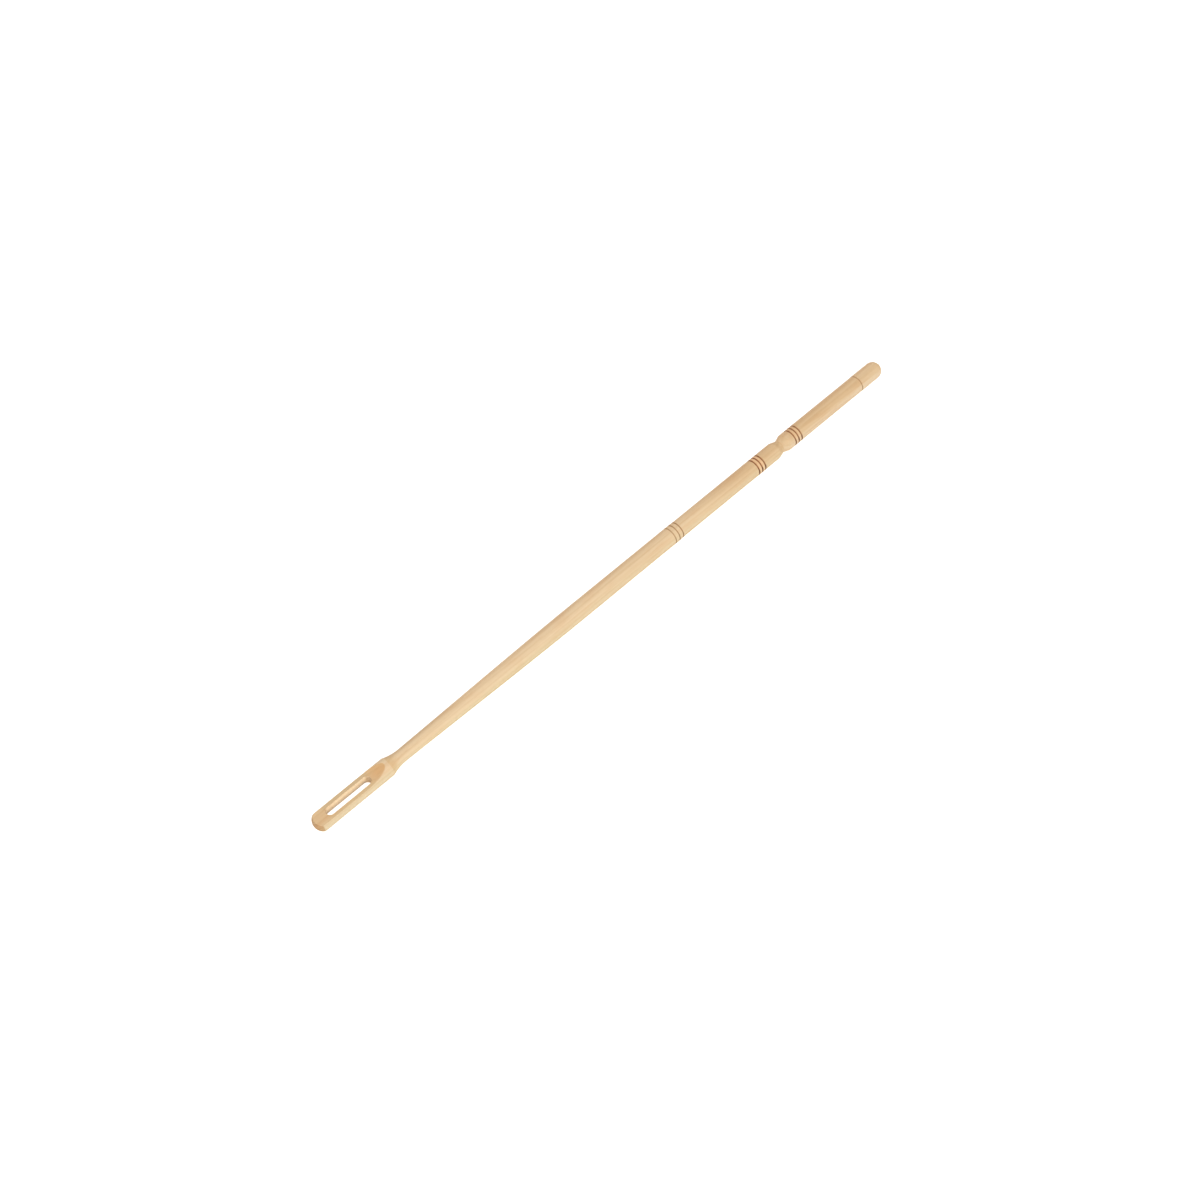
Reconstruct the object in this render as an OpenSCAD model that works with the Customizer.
// Turned wooden flute cleaning rod: a slotted eye at one end holds the cloth,
// the long tapered shaft goes down the bore, the thicker end is the grip, and a
// single scribed line near the rounded tip gauges the head cork.
//
// Frame: the rod's axis is X and its middle is the origin. +X points to the
// rounded tip of the handle. +Z is the normal of the eye's upper flat.
// Stations along the rod are measured from the nose of the eye in millimetres.

/* [Rod] */
// Overall length from the nose of the eye to the rounded tip
rod_len = 354.4; // [345:0.2:375]
// Diameter of the turned blank, kept at the head
stock_d = 8.65; // [8.4:0.05:9]

/* [Eye] */
// Length of the full-diameter head, from the nose to the shoulder's edge
head_len = 38.6; // [37.4:0.1:40]
// Height of the turned dome on the nose
nose_rise = 2.6; // [1.6:0.05:3]
// Thickness of the head between its two milled flats
flat_t = 4.7; // [4.3:0.02:5.4]
// Station at which the flats start to run out
flat_end = 25.7; // [25:0.1:27]
// Radius of the cutter that leaves the run-out
cutter_r = 34; // [26:1:36]
// Width of the cloth slot
slot_w = 4.1; // [3.6:0.1:4.4]
// Length of the cloth slot over its round ends
slot_len = 23; // [18:0.1:23.6]
// Distance from the nose to the near end of the cloth slot
slot_start = 6.6; // [6:0.1:7.6]

/* [Shaft] */
// Length of the hollow shoulder behind the head
shoulder_len = 7.5; // [6:0.1:9]
// Diameter of the neck behind the shoulder
neck_d = 5.9; // [5.2:0.02:6.2]
// Length over which the shaft swells from the neck to its full size
swell_len = 93; // [80:1:110]
// Shaft diameter where the swell ends
belly_d = 8.52; // [8.3:0.02:8.56]
// Shaft diameter just before the first ring group
shaft_d = 8.6; // [8.56:0.02:8.7]
// Shaft diameter just after the first ring group
upper_d = 8.34; // [8.2:0.02:8.54]
// Shaft diameter at the waist's edge
upper_end_d = 8.5; // [8.3:0.02:8.56]

/* [Waist and joint] */
// Distance from the rounded tip back to the bottom of the waist
waist_back = 73.5; // [70:0.25:76]
// Diameter at the bottom of the waist
waist_d = 6.36; // [5.6:0.02:6.6]
// Length of the waist's flank on the shaft side
flank_shaft = 3.75; // [3.6:0.05:5]
// Length of the waist's flank on the handle side
flank_handle = 3.85; // [3.4:0.05:4.6]
// Diameter of the turned tenon on the shaft
tenon_d = 3.4; // [3:0.1:3.8]
// Length of the turned tenon
tenon_len = 14; // [10:0.5:18]
// Glue gap round the tenon, on the radius
glue_gap = 0.05; // [0.03:0.01:0.12]

/* [Handle] */
// Diameter of the handle
handle_d = 8.62; // [8.5:0.02:8.7]
// Diameter of the tip beyond the scribed line
tip_d = 8.76; // [8.72:0.02:8.9]
// Distance from the rounded tip to the scribed cork line
cork_line = 17; // [15:0.1:19]

/* [Ring grooves] */
// Distance from the rounded tip to the middle of the first, light ring group
light_rings_back = 145.9; // [142:0.1:150]
// Spacing of the light rings
light_pitch = 2.4; // [2:0.1:2.8]
// Distance from the rounded tip to the middle of the dark rings on the shaft
dark_rings_back = 89.7; // [86.2:0.1:92]
// Distance from the rounded tip to the middle of the dark rings on the handle
handle_rings_back = 63.9; // [60:0.1:65]
// Spacing of the dark rings
dark_pitch = 2.12; // [1.9:0.02:2.4]
// Diameter of the wire that burns the dark rings
dark_wire = 0.8; // [0.6:0.05:1]
// Depth of the dark rings
dark_depth = 0.3; // [0.15:0.05:0.4]
// Diameter of the light rings' tool
light_wire = 0.6; // [0.5:0.05:0.8]
// Depth of the light rings
light_depth = 0.18; // [0.1:0.02:0.24]

/* [Hidden] */

WOOD = [0.90, 0.78, 0.60];
WOOD_HANDLE = [0.88, 0.74, 0.55];

// Facets of the turned surfaces and of the tools.
turn_fn = 96;
ring_fn = 24;
slot_fn = 64;
cutter_fn = 360;
// Steps along a curved stretch of the turned profile.
shoulder_steps = 14;
swell_steps = 20;
flank_steps = 5;

// Radii.
stock_r = stock_d / 2;
neck_r = neck_d / 2;
belly_r = belly_d / 2;
shaft_r = shaft_d / 2;
upper_r = upper_d / 2;
upper_end_r = upper_end_d / 2;
waist_r = waist_d / 2;
handle_r = handle_d / 2;
tip_r = tip_d / 2;
// A cap of height nose_rise on the head's diameter belongs to this sphere.
nose_r = (stock_r * stock_r + nose_rise * nose_rise) / (2 * nose_rise);

// Stations, from the nose.
neck_land = 0.8; // from the end of the shoulder to the start of the swell
light_margin = 1; // beyond the light rings' half span, on the handle side
flank_land = 0.6; // just before the waist's shaft flank
waist_at = rod_len - waist_back;
swell_at = head_len + shoulder_len + neck_land;
light_at = rod_len - light_rings_back;
light_start = light_at - 1.5 * light_pitch;
light_end = light_at + 1.5 * light_pitch + light_margin;
flank_at = waist_at - flank_shaft;
dark_at = rod_len - dark_rings_back;
handle_rings_at = rod_len - handle_rings_back;
line_at = rod_len - cork_line;
tip_centre = rod_len - tip_r;
nose_x = -rod_len / 2;

// Cuts overshoot the stock: reach is a radius that clears it.
over = 1;
reach = stock_r + over;
runout_overlap = 0.5; // of the run-out back over the straight cut

// Surfaces that the rings are cut into.
light_surface_r = (shaft_r + upper_r) / 2;
dark_surface_r = upper_end_r - 0.01; // the shaft is a little thinner here than at the waist
line_depth = light_depth + 0.04;

// Joint. Tenon and socket both start a little before the waist's bottom.
joint_overlap = 0.5;
joint_at = waist_at - joint_overlap;
tenon_r = tenon_d / 2;
tenon_top = tenon_len + joint_overlap;
tenon_chamfer = 0.4;
end_gap = 0.6; // between the tenon's end and the socket's shoulder
socket_r = tenon_r + glue_gap;
socket_top = tenon_top + end_gap;
drill_half_angle = 59;
drill_point = socket_r / tan(drill_half_angle);

// Fractions first/steps to 1, at which a curve of that many steps is sampled.
function fractions(steps, first = 0) = [for (i = [first : steps]) i / steps];

// In the radius functions below, v runs from 0 to 1 towards the rounded tip.

// Shoulder behind the head: a hollow that runs out into the neck.
function shoulder_radius(v) = neck_r + (stock_r - neck_r) * (1 - v) * (1 - v);

// Swell: half a straight taper and half a flattening curve.
function swell_radius(v) = neck_r + (belly_r - neck_r) * (v + sin(90 * pow(v, 1.2))) / 2;

// Waist's shaft flank: a cone that eases into the shaft, bulged by the factor 0.45.
function shaft_flank_radius(v) =
    waist_r + (upper_end_r - waist_r) * (1 - v) * (1 + 0.45 * v * (1 - v));

// Waist's handle flank: hollow, part straight and part parabola.
function handle_flank_radius(v) =
    waist_r + (handle_r - waist_r) * (0.62 * v + 0.38 * v * v);

// All outlines are lists of [radius, station].

// Shaft, from the nose to the bottom of the waist, before the nose is domed.
function shaft_outline() = concat(
    [[0, 0], [stock_r, 0], [stock_r, head_len]],
    [for (v = fractions(shoulder_steps, first = 1))
        [shoulder_radius(v), head_len + v * shoulder_len]],
    [for (v = fractions(swell_steps)) [swell_radius(v), swell_at + v * swell_len]],
    [[shaft_r, light_start], [shaft_r, light_at], [upper_r, light_end],
     [upper_end_r, flank_at - flank_land]],
    [for (v = fractions(flank_steps))
        [shaft_flank_radius(v), waist_at - flank_shaft * (1 - v)]],
    [[0, waist_at]]
);

// Handle, from the bottom of the waist to the centre of the rounded tip.
function handle_outline() = concat(
    [[0, waist_at]],
    [for (v = fractions(flank_steps)) [handle_flank_radius(v), waist_at + v * flank_handle]],
    [[handle_r, line_at], [tip_r, line_at], [tip_r, tip_centre], [0, tip_centre]]
);

// Tenon with a chamfered end; stations from joint_at.
function tenon_outline() = [
    [0, 0], [tenon_r, 0], [tenon_r, tenon_top - tenon_chamfer],
    [tenon_r - tenon_chamfer, tenon_top], [0, tenon_top]
];

// Socket with a drill-point bottom; stations from joint_at.
function socket_outline() = [
    [0, 0], [socket_r, 0], [socket_r, socket_top], [0, socket_top + drill_point]
];

// Lays a shape drawn with its stations up Z along the rod, with the rod's
// middle at the origin.
module along_rod() {
    translate([nose_x, 0, 0]) rotate([0, 90, 0]) children();
}

// Solid turned from an outline, stations up Z.
module turned(outline) {
    rotate_extrude($fn = turn_fn) polygon(outline);
}

// A round groove of the given tool round the rod.
module groove(station, surface_r, wire, depth) {
    translate([0, 0, station])
        rotate_extrude($fn = turn_fn)
            translate([surface_r + wire / 2 - depth, 0]) circle(d = wire, $fn = ring_fn);
}

// Three grooves at equal spacing, centred on a station.
module groove_group(station, surface_r, pitch, wire, depth) {
    for (i = [-1 : 1]) groove(station + i * pitch, surface_r, wire, depth);
}

// Everything milled away above one flat: a straight cut and the round run-out.
module flat_cut() {
    flat_z = flat_t / 2;
    runout_x = nose_x + flat_end;
    runout_len = sqrt(pow(cutter_r, 2) - pow(cutter_r - reach, 2));
    translate([nose_x - over, -reach, flat_z])
        cube([flat_end + over, 2 * reach, reach]);
    intersection() {
        translate([runout_x, 0, flat_z + cutter_r]) rotate([90, 0, 0])
            cylinder(r = cutter_r, h = 2 * reach, center = true, $fn = cutter_fn);
        translate([runout_x - runout_overlap, -reach - over, flat_z])
            cube([runout_len + runout_overlap, 2 * (reach + over), reach]);
    }
}

// The through slot that takes the cloth, with round ends.
module cloth_slot() {
    half = slot_w / 2;
    translate([nose_x + slot_start, 0, 0]) {
        translate([half, -half, -reach])
            cube([slot_len - slot_w, slot_w, 2 * reach]);
        for (x = [half, slot_len - half])
            translate([x, 0, 0])
                cylinder(d = slot_w, h = 2 * reach, center = true, $fn = slot_fn);
    }
}

// Envelope that domes the nose and leaves the rest of the shaft alone.
module nose_envelope() {
    union() {
        along_rod() translate([0, 0, nose_r]) sphere(r = nose_r, $fn = turn_fn);
        along_rod() translate([0, 0, nose_r]) cylinder(r = reach, h = rod_len, $fn = turn_fn);
    }
}

// Eye head, shoulder, tapered shaft and the tenon that enters the handle.
module shaft() {
    color(WOOD)
    union() {
        difference() {
            intersection() {
                along_rod() turned(shaft_outline());
                nose_envelope();
            }
            flat_cut();
            mirror([0, 0, 1]) flat_cut();
            cloth_slot();
            along_rod() {
                groove_group(light_at, light_surface_r, light_pitch, light_wire, light_depth);
                groove_group(dark_at, dark_surface_r, dark_pitch, dark_wire, dark_depth);
            }
        }
        along_rod() translate([0, 0, joint_at]) turned(tenon_outline());
    }
}

// Handle with the blind socket in its waist end and the rounded tip.
module handle() {
    color(WOOD_HANDLE)
    difference() {
        union() {
            along_rod() turned(handle_outline());
            along_rod() translate([0, 0, tip_centre]) sphere(r = tip_r, $fn = turn_fn);
        }
        along_rod() {
            groove_group(handle_rings_at, handle_r, dark_pitch, dark_wire, dark_depth);
            groove(line_at, handle_r, light_wire, line_depth);
            translate([0, 0, joint_at]) turned(socket_outline());
        }
    }
}

shaft();
handle();
